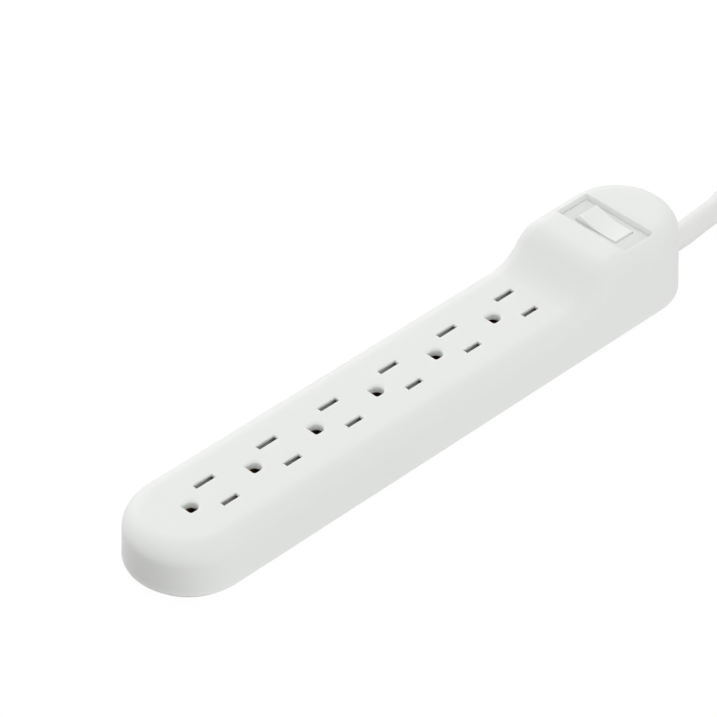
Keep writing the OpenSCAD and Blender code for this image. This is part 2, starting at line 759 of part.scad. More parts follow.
// The moulded relief on the cord: a jacket and a collar on the cover's floor, a neck in the wall and a taper
module strain_relief() {
    color("whitesmoke") {
        intersection() {
            union() {
                exit_bar(jacket_x, collar_x, cord_d / 2, cord_d / 2);
                exit_bar(collar_x - collar_t, collar_x, collar_r, collar_r);
                exit_bar(collar_x - collar_t / 2, plinth_x, relief_r, relief_r);
            }
            block((jacket_x + plinth_x) / 2, 0, plinth_x - jacket_x + 2 * over, 4 * collar_r,
                  cover_t, 4 * collar_r);
        }
        exit_bar(plinth_x, half_l, relief_r, relief_r);
        translate([half_l, 0, exit_z] - relief_in * sink_way) rotate([0, 90 + relief_sink, 0])
            cylinder(r1 = relief_root, r2 = relief_mid, h = relief_bend + relief_in);
        translate(knee - relief_in * lead_way) rotate([0, 90, lead_turn])
            cylinder(r1 = relief_knee, r2 = relief_tip, h = relief_l - relief_bend + relief_in);
    }
}

module cord_lead() {
    color("whitesmoke") tube(lead_route, cord_d / 2, 10);
}

// The hank: the cord goes round and round a long loop, climbs one layer along each return run,
// and every run is drawn in towards the middle and lifted over the tie, where it runs straight
function waist(s) = pow(cos(90 * max(0, abs(s) - tie_reach) / (1 - tie_reach)), 2);
function hank_run(side, from, to, z0, z1) = [for (k = [0:run_steps])
    let (t = k / run_steps, s = from + (to - from) * t, ease = t * t * (3 - 2 * t))
    [(hank_x0 + hank_x1) / 2 + s * (hank_x1 - hank_x0) / 2,
     hank_y + side * (hank_r - hank_waist * waist(s)),
     z0 + (z1 - z0) * ease + hank_lift * waist(s)]];
function hank_fold(x, start, z) = [for (k = [1:fold_steps - 1]) let (a = start - 180 * k / fold_steps)
    [x + hank_r * cos(a), hank_y + hank_r * sin(a), z]];
function layer(n) = hank_z + hank_pitch * n;
function hank_loop(n) = concat(hank_run(1, -1, 1, layer(n), layer(n)), hank_fold(hank_x1, 90, layer(n)),
                               hank_run(-1, 1, -1, layer(n), layer(n + 1)),
                               hank_fold(hank_x0, -90, layer(n + 1)));
hank_route = concat([[hank_x0 - cord_d, hank_y + hank_r, layer(0)]], hank_loop(0), hank_loop(1),
                    hank_run(1, -1, 1, layer(2), layer(2)), [[hank_x1 + cord_d, hank_y + hank_r, layer(2)]]);

module cord_hank() {
    color("white") tube(hank_route, cord_d / 2, 6);
}

module cord_tail() {
    color("whitesmoke") tube(tail_route, cord_d / 2, 10);
}

// Outline of the bundle at the waist, grown by a margin, as [y, z]; the climbing side takes more height
module waist_outline(grow) {
    y = hank_r - hank_waist * waist(1 / run_steps);
    hull()
        for (p = [[hank_y + y, 0], [hank_y + y, 2],
                  [hank_y - y, 0.5 - tie_climb], [hank_y - y, 1.5 + tie_climb]])
            translate([p[0], layer(p[1]) + hank_lift]) circle(cord_d / 2 + grow, $fn = 32);
}

// The strap round the hank's waist
module cord_tie() {
    color("dimgray")
    translate([(hank_x0 + hank_x1 - tie_w) / 2, 0, 0]) rotate([90, 0, 90])
        linear_extrude(tie_w)
            difference() {
                waist_outline(tie_gap + tie_t);
                waist_outline(tie_gap);
            }
}

// A blade of the plug, with its root inside the plug's body, a chamfered tip and a hole
module blade_form(side, w) {
    tip = plug_face + blade_l;
    translate([0, plug_y + side * live_y + blade_t / 2, blade_z]) rotate([90, 0, 0])
        linear_extrude(blade_t)
            difference() {
                polygon([[plug_face - blade_root, -w / 2], [tip - blade_chamfer, -w / 2],
                         [tip, -w / 2 + blade_chamfer], [tip, w / 2 - blade_chamfer],
                         [tip - blade_chamfer, w / 2], [plug_face - blade_root, w / 2]]);
                translate([tip - blade_hole_in, 0]) circle(blade_hole_r);
            }
}

// The pin's root, which is held in the plug's body
module pin_root() {
    translate([plug_face - blade_root, plug_y, pin_z]) rotate([0, 90, 0])
        cylinder(r = pin_root_r, h = blade_root);
}

// The moulded plug, with its tapered relief towards the cord
module plug_body() {
    color("whitesmoke")
    difference() {
        union() {
            hull() {
                for (sy = [-1, 1], sz = [-1, 1])
                    translate([plug_face - plug_block_l, plug_y + sy * (plug_w / 2 - plug_round),
                               plug_z + sz * (plug_h / 2 - plug_round)])
                        rotate([0, 90, 0]) cylinder(r = plug_round, h = plug_block_l, $fn = 32);
                translate([plug_back, plug_y, plug_z]) rotate([0, 90, 0])
                    cylinder(r = plug_neck_r + plug_step, h = plug_neck_l, $fn = 32);
            }
            translate([plug_x0, plug_y, plug_z]) rotate([0, 90, 0])
                cylinder(r1 = relief_tip + plug_tip, r2 = plug_neck_r, h = plug_relief_l + bite);
        }
        blade_form(1, hot_w);
        blade_form(-1, neutral_w);
        pin_root();
    }
}

module plug_hot_blade() {
    color("silver") blade_form(1, hot_w);
}

module plug_neutral_blade() {
    color("silver") blade_form(-1, neutral_w);
}

module plug_ground_pin() {
    color("silver") {
        pin_root();
        translate([plug_face, plug_y, pin_z]) rotate([0, 90, 0]) cylinder(r = pin_r, h = pin_l - pin_r);
        translate([plug_face + pin_l - pin_r, plug_y, pin_z]) sphere(pin_r);
    }
}

top_housing();
bottom_cover();
housing_screws();
hot_bus_bar();
neutral_bus_bar();
ground_bus_bar();
switch_bezel();
switch_case();
rocker();
rocker_plunger();
plunger_spring();
contact_lever();
lever_contact();
line_terminal();
load_terminal();
fixed_contact();
hot_lead();
hot_jumper();
neutral_lead();
ground_lead();
strain_relief();
cord_lead();
cord_hank();
cord_tail();
cord_tie();
plug_body();
plug_hot_blade();
plug_neutral_blade();
plug_ground_pin();
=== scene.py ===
"""Looks of the six-outlet power strip: its moulded shell, switch, cord and plug.

Shapes are worked out in millimetres: x runs along the strip towards the cord, and z runs up.
"""
import bpy
import numpy as np
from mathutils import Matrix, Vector
from mathutils.geometry import delaunay_2d_cdt


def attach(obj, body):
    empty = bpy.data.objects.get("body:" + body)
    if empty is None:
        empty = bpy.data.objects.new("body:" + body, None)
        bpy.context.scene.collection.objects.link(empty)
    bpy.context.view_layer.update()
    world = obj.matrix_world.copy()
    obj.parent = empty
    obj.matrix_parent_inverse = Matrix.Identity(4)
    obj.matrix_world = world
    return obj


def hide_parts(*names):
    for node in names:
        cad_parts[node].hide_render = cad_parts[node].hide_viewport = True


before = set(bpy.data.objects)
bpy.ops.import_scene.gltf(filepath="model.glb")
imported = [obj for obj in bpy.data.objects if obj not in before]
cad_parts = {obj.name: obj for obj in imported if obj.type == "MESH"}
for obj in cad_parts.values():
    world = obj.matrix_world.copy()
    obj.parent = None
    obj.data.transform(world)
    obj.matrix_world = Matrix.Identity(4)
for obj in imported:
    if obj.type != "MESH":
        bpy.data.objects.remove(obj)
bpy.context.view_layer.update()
MM = 0.001

# Camera: the photograph's own, worked out from the outlets
CAMERA_PLACE = (-0.7444, -0.7362, 0.8771)
CAMERA_FORWARD = (0.54206, 0.55533, -0.63069)
CAMERA_FOCAL_PX = 3906.66
PICTURE_PX = 717
SENSOR_MM = 36.0
CLIP_NEAR, CLIP_FAR = 0.05, 20.0


def make_camera():
    """A camera at the photograph's place, looking its way, with its focal length."""
    data = bpy.data.cameras.new("camera")
    data.sensor_width = SENSOR_MM
    data.lens = CAMERA_FOCAL_PX / PICTURE_PX * data.sensor_width
    data.clip_start = CLIP_NEAR
    data.clip_end = CLIP_FAR
    camera = bpy.data.objects.new("camera", data)
    camera.location = CAMERA_PLACE
    camera.rotation_euler = Vector(CAMERA_FORWARD).to_track_quat("-Z", "Y").to_euler()
    bpy.context.collection.objects.link(camera)
    bpy.context.scene.camera = camera


make_camera()

# Meshes: a part is its points and a list of face arrays, one face a row
MERGE = 2e-4  # points in one cell of this size become one


def pinched(corners):
    """Faces sorted into whole ones and those that lose one corner because two neighbours have met."""
    same = corners == np.roll(corners, -1, 1)
    met = same.sum(1) == 1
    return [corners[~same.any(1)], corners[met][~same[met]].reshape(-1, corners.shape[1] - 1)]


def add_mesh(name, parts, material, body, sharp_deg=35.0):
    """One object from parts in millimetres: points that parts share are merged, so seams close."""
    points = np.concatenate([p for p, _ in parts])
    starts = np.cumsum([0] + [len(p) for p, _ in parts[:-1]])
    cells = np.round(points / MERGE).astype(np.int64)
    _, first, index = np.unique(cells, axis=0, return_index=True, return_inverse=True)
    index = index.ravel()
    blocks = []
    for (_, faces), start in zip(parts, starts):
        for block in faces:
            blocks += pinched(index[np.asarray(block) + start])
    sizes = np.concatenate([np.full(len(b), b.shape[1]) for b in blocks])
    corners = np.concatenate([b.ravel() for b in blocks])
    mesh = bpy.data.meshes.new(name)
    mesh.vertices.add(len(first))
    mesh.vertices.foreach_set("co", (points[first] * MM).ravel())
    mesh.loops.add(len(corners))
    mesh.loops.foreach_set("vertex_index", corners)
    mesh.polygons.add(len(sizes))
    mesh.polygons.foreach_set("loop_start", np.cumsum(sizes) - sizes)
    mesh.polygons.foreach_set("use_smooth", np.ones(len(sizes), bool))
    mesh.update(calc_edges=True)
    mesh.validate()
    mesh.set_sharp_from_angle(angle=np.radians(sharp_deg))
    mesh.materials.append(material)
    piece = bpy.data.objects.new(name, mesh)
    bpy.context.collection.objects.link(piece)
    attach(piece, body)
    return piece


def loft(rows, capped=False):
    """A skin of quads over closed rings given as an array of rows, with flat ends if it is capped."""
    rows = np.asarray(rows, float)
    count, columns, _ = rows.shape
    ring = np.arange(columns)
    a = (np.arange(count - 1)[:, None] * columns + ring).ravel()
    b = (np.arange(count - 1)[:, None] * columns + np.roll(ring, -1)).ravel()
    faces = [np.stack([a, b, b + columns, a + columns], 1)]
    if capped:
        faces += [ring[None, ::-1], ring[None] + (count - 1) * columns]
    return rows.reshape(-1, 3), faces


def turned(part):
    """A part with its faces turned over."""
    points, faces = part
    return points, [f[:, ::-1] for f in faces]


def inside(points, outline):
    """True for each point of the plan that lies inside a closed outline, by counting crossings."""
    x, y = points[:, :1], points[:, 1:]
    ax, ay = outline[:, 0], outline[:, 1]
    bx, by = np.roll(ax, -1), np.roll(ay, -1)
    span = np.where(by == ay, 1e-12, by - ay)
    crosses = ((ay > y) != (by > y)) & (x < (bx - ax) * (y - ay) / span + ax)
    return crosses.sum(1) % 2 == 1


def fill(boundary, holes, extra, height):
    """Triangles over the plan between a boundary and its holes, through extra points, at height(x, y)."""
    loops = [boundary] + holes
    clear = np.ones(len(extra), bool)
    for hole in holes:
        clear &= ~inside(extra, hole)
    points = np.concatenate(loops + [extra[clear]])
    starts = np.cumsum([0] + [len(p) for p in loops])
    edges = np.concatenate([np.stack([np.arange(len(p)), np.roll(np.arange(len(p)), -1)], 1) + s
                            for p, s in zip(loops, starts)])
    made = delaunay_2d_cdt([Vector(p) for p in points], edges.tolist(), [], 0, 1e-7)
    flat = points[[given[0] for given in made[3]]]
    tris = np.array(made[2])
    middle = flat[tris].mean(1)
    keep = inside(middle, boundary)
    for hole in holes:
        keep &= ~inside(middle, hole)
    return np.column_stack([flat, height(flat[:, 0], flat[:, 1])]), [tris[keep]]


def at_height(outline, height):
    """An outline of the plan set at a height, per point or one for all."""
    return np.column_stack([outline, height + np.zeros(len(outline))])


def smooth_step(t):
    """3t^2 - 2t^3 between 0 and 1."""
    t = np.clip(t, 0.0, 1.0)
    return t * t * (3.0 - 2.0 * t)


def squared(wave, power):
    """A wave raised to a power, with its sign kept: a power below 1 turns a circle towards a square."""
    return np.sign(wave) * np.abs(wave) ** power


# Body of the shell, with the solid's sizes: round ends about a spine, and a wall that leans in
HALF_L = 127.5
HALF_W = 23.0
SPINE = HALF_L - HALF_W
WALL = 2.2
LEAN = np.radians(2.5)
SKIRT_Z = 2.5
DECK_Z = 22.0
RISE = 12.5
RAMP_X0 = 60.1
RAMP_X1 = 81.1
RAMP_TURN = 0.6  # share of the ramp that is hollow
DECK_ROUND = 7.7
HUMP_ROUND = 8.0
FOOT_EDGE = 1.0
FOOT_FLAT = 0.3
FOOT_TURN = 1.5  # radians of the foot's soft edge
SEAM = 0.3  # width of the flat strip between the feet of the outer and the inner skin
CUT_DEG = 40.0  # how far up the rounded edge the wall's rings go, before the roof's net takes over
INNER_CUT_DEG = 45.0
GUARD = 0.3  # distance of a row of points round every opening


def ramp_at(x):
    """Share of the ramp that is climbed at x, and the slope there.

    The ramp is a hollow parabola, then a round one that starts with the same slope.
    """
    t = np.clip((x - RAMP_X0) / (RAMP_X1 - RAMP_X0), 0.0, 1.0)
    climbed = np.where(t < RAMP_TURN, t ** 2 / RAMP_TURN, 1 - (1 - t) ** 2 / (1 - RAMP_TURN))
    slope = 2 * RISE / (RAMP_X1 - RAMP_X0) * np.minimum(t / RAMP_TURN, (1 - t) / (1 - RAMP_TURN))
    return climbed, slope


def section(x, inset):
    """The section at x, drawn in by inset: its top, its edge's width, height and middle (as an inset).

    The edge is a quarter circle on the deck and the hump. On the ramp it is taller, as a ball would roll it.
    """
    climbed, slope = ramp_at(x)
    top = DECK_Z + RISE * climbed - inset
    wide = DECK_ROUND + (HUMP_ROUND - DECK_ROUND) * climbed - inset
    tall = wide * np.sqrt(1 + slope ** 2)
    middle = inset + (top - tall + tall * np.sin(LEAN) - SKIRT_Z) * np.tan(LEAN) + wide * np.cos(LEAN)
    return top, wide, tall, middle


def from_spine(x, y):
    """Distance of a point of the plan from the spine."""
    return np.hypot(np.maximum(np.abs(x) - SPINE, 0.0), y)


def shell_height(x, y, inset=0.0):
    """Height of the shell's upper skin over a point of the plan.

    It is the section's top, and past the edge's middle a quarter ellipse down towards the side.
    """
    top, wide, tall, middle = section(np.clip(x, -SPINE, SPINE), inset)
    over = np.clip((middle - (HALF_W - from_spine(x, y))) / wide, 0.0, 1.0)
    return top - tall + tall * np.sqrt(1 - over ** 2)


def ceiling_height(x, y):
    """Height of the shell's inner skin over a point of the plan."""
    return shell_height(x, y, WALL)


def plan_stations(end_steps, deck_step, ramp_steps):
    """Points of the spine with the way out from each, once round the plan against the clock."""
    deck = np.linspace(-SPINE, RAMP_X0, int((RAMP_X0 + SPINE) / deck_step) + 1)[:-1]
    ramp = np.linspace(RAMP_X0, RAMP_X1, ramp_steps + 1)[:-1]
    hump = np.linspace(RAMP_X1, SPINE, int((SPINE - RAMP_X1) / deck_step) + 2)
    xs = np.concatenate([deck, ramp, hump])
    turn = np.radians(np.linspace(-90, 90, end_steps + 1))[1:-1]
    near = np.stack([xs, 0 * xs, 0 * xs - 1], 1)
    cord_end = np.stack([0 * turn + SPINE, np.cos(turn), np.sin(turn)], 1)
    far = np.stack([xs[::-1], 0 * xs, 0 * xs + 1], 1)
    plain_end = np.stack([0 * turn - SPINE, -np.cos(turn), -np.sin(turn)], 1)
    return np.concatenate([near, cord_end, far, plain_end])


def ring_at(stations, inset, height):
    """Points that lie inset from the shell's foot line, at a height, both per station or one for all."""
    out = HALF_W - inset + np.zeros(len(stations))
    level = height + np.zeros(len(stations))
    return np.stack([stations[:, 0] + stations[:, 1] * out, stations[:, 2] * out, level], 1)


def side_rings(stations, inset, low, last_deg, wall_rows, round_rows):
    """Rings up the leaning wall from low and then round its edge, as far as last_deg of the quarter circle.

    The last ring is set on the skin's own height, where the roof starts.
    """
    top, wide, tall, middle = section(stations[:, 0], inset)
    start = top - tall + tall * np.sin(LEAN)
    rings = []
    for share in np.linspace(0, 1, wall_rows, endpoint=False):
        height = low + (start - low) * share
        rings.append(ring_at(stations, inset + (height - SKIRT_Z) * np.tan(LEAN), height))
    for angle in np.linspace(LEAN, np.radians(last_deg), round_rows):
        rings.append(ring_at(stations, middle - wide * np.cos(angle), top - tall + tall * np.sin(angle)))
    rings[-1][:, 2] = shell_height(rings[-1][:, 0], rings[-1][:, 1], inset)
    return rings


# The roof's net: a step for each stretch, how far it reaches, and its distance from the rounded edge
NET_DECK, NET_RAMP, NET_HUMP = 6.0, 0.5, 4.0
NET_X0, NET_X1, NET_Y, NET_ROWS = -120.0, 125.0, 12.0, 9
NET_CLEAR = 0.6


def roof_points(stations, inset, first_deg, rows):
    """Points that follow the rounded edge above first_deg, and a net over the flat top and the ramp."""
    _, wide, _, middle = section(stations[:, 0], inset)
    angles = np.radians(np.linspace(first_deg, 90, rows)[1:])
    rims = [ring_at(stations, middle - wide * np.cos(a), 0)[:, :2] for a in angles]
    deck = np.arange(NET_X0, RAMP_X0 - NET_DECK / 2, NET_DECK)
    ramp = np.arange(RAMP_X0, RAMP_X1, NET_RAMP)
    hump = np.arange(RAMP_X1, NET_X1, NET_HUMP)
    x, y = np.meshgrid(np.concatenate([deck, ramp, hump]), np.linspace(-NET_Y, NET_Y, NET_ROWS))
    net = np.stack([x.ravel(), y.ravel()], 1)
    limit = HALF_W - section(np.clip(net[:, 0], -SPINE, SPINE), inset)[3]
    return np.concatenate(rims + [net[from_spine(net[:, 0], net[:, 1]) < limit - NET_CLEAR]])


def oblong(x, y, width, length, corner, grow=0.0, steps=5):
    """Outline of a rectangle with round corners about (x, y), grown all round, against the clock."""
    corner = corner + grow
    across, along = width / 2 + grow - corner, length / 2 + grow - corner
    arc = np.radians(np.linspace(0, 90, steps))
    quarters = []
    middles = ((across, along), (-across, along), (-across, -along), (across, -along))
    for (cx, cy), start in zip(middles, (0, 90, 180, 270)):
        angle = arc + np.radians(start)
        quarters.append(np.stack([x + cx + corner * np.cos(angle), y + cy + corner * np.sin(angle)], 1))
    return np.concatenate(quarters)


def fillet_rings(outline_at, radius, surface, steps=5):
    """Rings that roll over a hole's edge, from the surface in and down by a quarter circle."""
    rings = []
    for angle in np.linspace(0, np.pi / 2, steps):
        outline = outline_at(radius * (1 - np.sin(angle)))
        height = surface(outline[:, 0], outline[:, 1]) - radius * (1 - np.cos(angle))
        rings.append(at_height(outline, height))
    return rings


# Outlets: two blade slots and a ground hole each, with wider room under the roof's skin
OUTLET_X = -91.7 + 28.8 * np.arange(6)
BLADE_Y = 6.35
LONG_SLOT, SHORT_SLOT, SLOT_W = 8.6, 7.1, 2.1
SLOT_CORNER = 0.12
SLOT_EDGE = 0.35
SLOT_SKIN = 1.2
POCKET_L, POCKET_W = 1.4, 2.0  # more than the slot's length and width
GROUND_BACK = 11.7
GROUND_R = 2.45  # of the half circle
GROUND_HALF = 2.45  # from the hole's middle to its flat side
GROUND_CORNER = 0.35
GROUND_EDGE = 0.85
GROUND_LEAN = np.array([0.75, 0.4])  # the soft edge is wider towards the blades and the far side
GROUND_DEEP = 3.0
COLLAR_GROW = 0.8


def slot_hole(x, y, length):
    """A blade slot: its outline as a function of growth, its edge, and the rings that line it."""
    outline = lambda grow: oblong(x, y, length, SLOT_W, SLOT_CORNER, grow)
    pocket = oblong(x, y, length + POCKET_L, SLOT_W + POCKET_W, SLOT_CORNER)
    low = DECK_Z - SLOT_SKIN
    lining = [at_height(outline(0), low), at_height(pocket, low), at_height(pocket, DECK_Z - WALL)]
    return outline, SLOT_EDGE, lining


def ground_outline(x, grow=0.0):
    """Outline of a ground hole: a half circle towards the blades, and a flat back with small corners."""
    radius = GROUND_R + grow
    corner = GROUND_CORNER + grow
    flat = x - GROUND_HALF - grow
    arch = np.radians(np.linspace(-90, 90, 25))
    small = np.radians(np.linspace(0, 90, 6))
    return np.concatenate([
        np.stack([x + GROUND_HALF - GROUND_R + radius * np.cos(arch), radius * np.sin(arch)], 1),
        np.stack([flat + corner - corner * np.sin(small), radius - corner + corner * np.cos(small)], 1),
        np.stack([flat + corner - corner * np.cos(small), -radius + corner - corner * np.sin(small)], 1)])


def ground_hole(x):
    """A ground hole: its outline as a function of growth, its edge, and the rings that line it."""
    outline = lambda grow: ground_outline(x, grow) + grow * GROUND_LEAN
    collar = ground_outline(x, COLLAR_GROW)
    low = DECK_Z - GROUND_DEEP
    lining = [at_height(outline(0), low), at_height(collar, low), at_height(collar, DECK_Z - WALL)]
    return outline, GROUND_EDGE, lining


def outlet_holes():
    """The openings of all the outlets."""
    holes = []
    for x in OUTLET_X:
        holes += [slot_hole(x, BLADE_Y, LONG_SLOT), slot_hole(x, -BLADE_Y, SHORT_SLOT)]
        holes.append(ground_hole(x - GROUND_BACK))
    return holes


# Switch: plans as width, length and corner, and the recess's as x, y and those three
SWITCH_X = 97.0
RECESS_FOOT = (96.9, -0.175, 14.4, 31.25, 0.7)
RECESS_RIM = (97.3, 0.0, 15.2, 32.8, 0.7)
RECESS_EDGE = 0.5
WINDOW = (12.5, 24.3, 0.3)
PAD = (17.6, 34.6, 1.0)
MOUTH = (9.2, 20.1, 0.3)
SWITCH_STEPS = 9  # points on each corner
BEZEL_TOP, BEZEL_LOW = 32.5, 31.5
BEZEL_GAP = 0.1
BEZEL_EDGE = 0.15
LEDGE_T = 1.8


def switch_hole():
    """The recess: a soft rim, leaning walls, a ledge for the bezel, its window, and the pad's sides below."""
    rim = lambda grow: oblong(*RECESS_RIM, grow, SWITCH_STEPS)
    foot = oblong(*RECESS_FOOT, steps=SWITCH_STEPS)
    window = oblong(SWITCH_X, 0, *WINDOW, steps=SWITCH_STEPS)
    pad = oblong(SWITCH_X, 0, *PAD, steps=SWITCH_STEPS)
    ledge_low = BEZEL_LOW - LEDGE_T
    lining = [at_height(foot, BEZEL_TOP), at_height(foot, BEZEL_LOW),
              at_height(window, BEZEL_LOW), at_height(window, ledge_low),
              at_height(pad, ledge_low), at_height(pad, ceiling_height(pad[:, 0], pad[:, 1]))]
    return rim, RECESS_EDGE, lining


def outer_skin(holes):
    """Parts of the outer skin, from the foot up over the roof and into every opening, and the foot's line."""
    stations = plan_stations(end_steps=64, deck_step=5.0, ramp_steps=40)
    foot = [ring_at(stations, WALL - SEAM, SKIRT_Z), ring_at(stations, FOOT_EDGE + FOOT_FLAT, SKIRT_Z)]
    for angle in np.linspace(0, FOOT_TURN, 8):
        height = SKIRT_Z + FOOT_EDGE * (1 - np.cos(angle))
        foot.append(ring_at(stations, FOOT_EDGE * (1 - np.sin(angle)), height))
    rings = foot + side_rings(stations, 0.0, SKIRT_Z + FOOT_EDGE, CUT_DEG, wall_rows=5, round_rows=9)
    edges = [outline(radius) for outline, radius, _ in holes]
    guard = np.concatenate([outline(radius + GUARD) for outline, radius, _ in holes])
    net = np.concatenate([roof_points(stations, 0.0, CUT_DEG, rows=9), guard])
    parts = [loft(rings), fill(rings[-1][:, :2], edges, net, shell_height)]
    for outline, radius, lining in holes:
        parts.append(loft(fillet_rings(outline, radius, shell_height) + lining))
    return parts, rings[0][:, :2]


def inner_skin(holes):
    """Parts of the inner skin, from the foot up over the ceiling between openings, and the foot's line."""
    stations = plan_stations(end_steps=32, deck_step=12.0, ramp_steps=14)
    rings = side_rings(stations, WALL, SKIRT_Z, INNER_CUT_DEG, wall_rows=3, round_rows=5)
    mouths = [lining[-1][:, :2] for _, _, lining in holes]
    net = roof_points(stations, WALL, INNER_CUT_DEG, rows=4)
    ceiling = fill(rings[-1][:, :2], mouths, net, ceiling_height)
    return [turned(loft(rings)), turned(ceiling)], rings[0][:, :2]


def make_housing(material):
    """The moulded shell: an outer and an inner skin, and the flat strip under the wall that joins them."""
    holes = outlet_holes() + [switch_hole()]
    outer, outer_line = outer_skin(holes)
    inner, inner_line = inner_skin(holes)
    strip = turned(fill(outer_line, [inner_line], np.zeros((0, 2)), lambda x, y: SKIRT_Z + 0 * x))
    return add_mesh("moulded_shell", outer + inner + [strip], material, "strip", sharp_deg=40.0)


def make_bezel(material):
    """A sunk frame: rings from its foot up over a small edge, across its face and down into its mouth."""
    outer = lambda grow: oblong(*RECESS_FOOT, grow - BEZEL_GAP, SWITCH_STEPS)
    mouth = lambda grow: oblong(SWITCH_X, 0, *MOUTH, grow, SWITCH_STEPS)
    draw = BEZEL_EDGE * (1 - np.cos(np.linspace(0, np.pi / 2, 4)))
    drop = BEZEL_EDGE * (1 - np.sin(np.linspace(0, np.pi / 2, 4)))
    rings = [at_height(outer(0), BEZEL_LOW)]
    rings += [at_height(outer(-a), BEZEL_TOP - b) for a, b in zip(draw, drop)]
    rings += [at_height(mouth(b), BEZEL_TOP - a) for a, b in zip(draw, drop)]
    rings += [at_height(mouth(0), BEZEL_LOW), at_height(outer(0), BEZEL_LOW)]
    return add_mesh("sunk_bezel", [loft(rings)], material, "strip")


# Rocker, measured from its pivot
PIVOT_Z = 28.5
ROCKER_R = 10.4  # of the round ends
ROCKER_TOP = 4.8  # up to the middle of the hollow
ROCKER_DISH = 1.4
ROCKER_LOW = 1.0  # down to the underside
ROCKER_HALF = 4.5
ROCKER_CORNER = 0.35
ROCKER_EDGE = 0.3
REST_TILT = np.radians(7.5)


def rocker_outline(corner=ROCKER_CORNER):
    """Side view of the rocker about its pivot: a hollow top, round corners, and ends round about the pivot.

    The upper corner's middle lies as far out as the hollow's height there lets it, found by steps.
    """
    inner = ROCKER_R - corner
    dish = lambda y: ROCKER_TOP + ROCKER_DISH * (y / ROCKER_R) ** 2
    reach = inner
    for _ in range(40):
        reach = np.sqrt(inner ** 2 - (dish(reach) - corner) ** 2)
    low = np.sqrt(inner ** 2 - (ROCKER_LOW - corner) ** 2)
    lean = np.arctan2(2 * ROCKER_DISH * reach, ROCKER_R ** 2)
    upper = np.linspace(np.arctan2(dish(reach) - corner, reach), np.pi / 2 + lean, 7)
    lower = np.linspace(-np.pi / 2, np.arctan2(corner - ROCKER_LOW, low), 5)
    end = np.linspace(lower[-1], upper[0], 12)[1:-1]
    right = np.concatenate([
        np.stack([low + corner * np.cos(lower), corner - ROCKER_LOW + corner * np.sin(lower)], 1),
        ROCKER_R * np.stack([np.cos(end), np.sin(end)], 1),
        np.stack([reach + corner * np.cos(upper), dish(reach) - corner + corner * np.sin(upper)], 1)])
    y = np.linspace(right[-1, 0], -right[-1, 0], 26)[1:-1]
    return np.concatenate([right, np.stack([y, dish(y)], 1), (right * [-1, 1])[::-1]])


def make_rocker(material):
    """The rocker's side view carried across its width and tipped as at rest.

    It is drawn in at both sides by a quarter circle.
    """
    outline = rocker_outline()
    along = np.roll(outline, -1, 0) - np.roll(outline, 1, 0)
    inward = np.stack([-along[:, 1], along[:, 0]], 1) / np.linalg.norm(along, axis=1)[:, None]
    bend = np.linspace(0, np.pi / 2, 6)
    x = -ROCKER_HALF + ROCKER_EDGE * (1 - np.cos(bend))
    draw = ROCKER_EDGE * (1 - np.sin(bend))
    x, draw = np.concatenate([x, -x[::-1]]), np.concatenate([draw, draw[::-1]])
    side = outline[None] + inward[None] * draw[:, None, None]
    y = side[..., 0] * np.cos(REST_TILT) - side[..., 1] * np.sin(REST_TILT)
    z = side[..., 0] * np.sin(REST_TILT) + side[..., 1] * np.cos(REST_TILT)
    rows = np.stack([SWITCH_X + x[:, None] + 0 * y, y, PIVOT_Z + z], 2)
    skin = loft(rows, capped=True)
    return add_mesh("rocker_cap", [skin], material, "rocker_body", sharp_deg=40.0)


# The cord's route, the same as the solids': down along the relief, round a knee and on to the hank
CORD_D = 9.0
EXIT_Z = 5.8
RELIEF_L = 20.0
RELIEF_BEND = 13.0
RELIEF_SINK = np.radians(2.2)
LEAD_TURN = np.radians(5.3)
EXIT = np.array([HALF_L, 0.0, EXIT_Z])
SINK_WAY = np.array([np.cos(RELIEF_SINK), 0.0, -np.sin(RELIEF_SINK)])
LEAD_WAY = np.array([np.cos(LEAD_TURN), np.sin(LEAD_TURN), 0.0])
KNEE = EXIT + RELIEF_BEND * SINK_WAY
LEAD_START = KNEE + (RELIEF_L - RELIEF_BEND) * LEAD_WAY
LEAD = [LEAD_START, LEAD_START + 3 * LEAD_WAY, [154, 1.25, 5.2], [158, 1.62, 5.06], [163.2, 2.36, 4.88],
        [168.6, 3.7, 4.71], [174.6, 5.95, 4.62], [180.6, 8.19, 4.6], [185.9, 9.53, 4.6], [190.9, 10.26, 4.6],
        [193.7, 10.45, 4.6], [196, 10.5, 4.6]]
TAIL = [[304, 10.5, 23.8], [307, 10.5, 23.8], [313, 10.5, 23], [319, 10.5, 21.2], [325, 10.5, 18.6],
        [331, 10.5, 16], [337, 10.5, 14.1], [343, 10.5, 13.2], [346, 10.5, 13.2]]

# The hank: two straight runs a turn between half circles, drawn in to a waist under the strap
HANK_X0, HANK_X1, HANK_Y, HANK_Z = 205.0, 295.0, -17.0, 4.6
HANK_R = 27.5
HANK_PITCH = 9.6
HANK_WAIST = 12.0
HANK_LIFT = 1.4
TIE_REACH = 0.07  # share of a run that is straight under the strap
HANK_MIDDLE = (HANK_X0 + HANK_X1) / 2
LAYERS = HANK_Z + HANK_PITCH * np.arange(3)
ROUTE_STEP = 2.0


def through(points, per_span=6):
    """A smooth curve through points: a cubic on each span, with slopes from the neighbouring points."""
    p = np.asarray(points, float)
    slope = np.gradient(p, axis=0)
    slope[0], slope[-1] = p[1] - p[0], p[-1] - p[-2]
    t = np.linspace(0, 1, per_span, endpoint=False)[None, :, None]
    a, b, u, v = p[:-1, None], p[1:, None], slope[:-1, None], slope[1:, None]
    curve = ((2 * t ** 3 - 3 * t ** 2 + 1) * a + (t ** 3 - 2 * t ** 2 + t) * u
             + (3 * t ** 2 - 2 * t ** 3) * b + (t ** 3 - t ** 2) * v)
    return np.concatenate([curve.reshape(-1, 3), p[-1:]])


